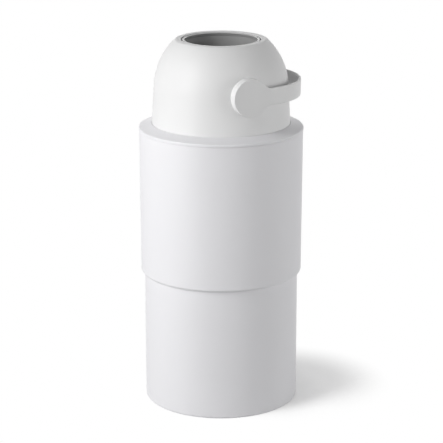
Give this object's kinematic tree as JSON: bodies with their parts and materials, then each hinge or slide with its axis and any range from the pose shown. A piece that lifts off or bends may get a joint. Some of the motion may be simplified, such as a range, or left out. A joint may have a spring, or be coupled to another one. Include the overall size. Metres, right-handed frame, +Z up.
{
  "type": "nappy bin",
  "caption": "Free-standing two-tier nappy bin: a half turn of the handle flips a hollow ball whose weighted piston pushes the nappy down into the bag.",
  "frame": {"origin": "on the floor, at the middle of the base", "axes": "+Z up, along the bin's axis of revolution; -Y towards the handle hub seen in the picture; +X to the side on which the handle lies at rest"},
  "size_m": [0.282, 0.282, 0.6368],
  "materials": {
    "white_shell": "matte",
    "grey_inner": "satin",
    "dark_inner": "satin",
    "rubber": "matte",
    "steel": "satin"
  },
  "bodies": {
    "bin": {"base_bin": "white_shell", "anti_slip_feet": "rubber", "upper_sleeve": "white_shell"},
    "bag_carrier": {"bag_ring": "grey_inner", "bag_clamp_ring": "dark_inner"},
    "head": {"head_collar": "white_shell", "head_gasket": "rubber", "dome_shell": "white_shell", "ball_cradle": "grey_inner", "upper_ball_seal": "rubber", "lower_ball_seal": "rubber", "pivot_bush_front": "grey_inner", "pivot_bush_back": "grey_inner", "head_screws": "steel"},
    "ball": {"ball_half_front": "grey_inner", "ball_half_back": "grey_inner", "ball_screws": "steel", "barrel_tube": "grey_inner", "barrel_ring_upper": "grey_inner", "barrel_ring_lower": "grey_inner", "handle": "white_shell", "axle_front": "dark_inner", "axle_back": "dark_inner", "axle_screws": "steel"},
    "piston": {"piston_body": "dark_inner", "piston_cap_upper": "dark_inner", "piston_cap_lower": "dark_inner", "piston_weight": "steel", "piston_wipers": "rubber"}
  },
  "joints": [
    {"name": "handle_flip", "type": "hinge", "parent": "head", "child": "ball", "pos_m": [0, 0, 0.5577], "axis": [0, -1, 0], "range_deg": [0, 180]},
    {"name": "piston_slide", "type": "slide", "parent": "ball", "child": "piston", "axis": [0, 0, 1], "range_m": [0, 0.1033]},
    {"name": "head_lift", "type": "slide", "parent": "bin", "child": "head", "axis": [0, 0, 1], "range_m": [0, 0.3]},
    {"name": "bag_ring_lift", "type": "slide", "parent": "bin", "child": "bag_carrier", "axis": [0, 0, 1], "range_m": [0, 0.12]}
  ],
  "couplings": [
    {"joint": "bag_ring_lift", "follows": "head_lift", "ratio": 0.4}
  ]
}
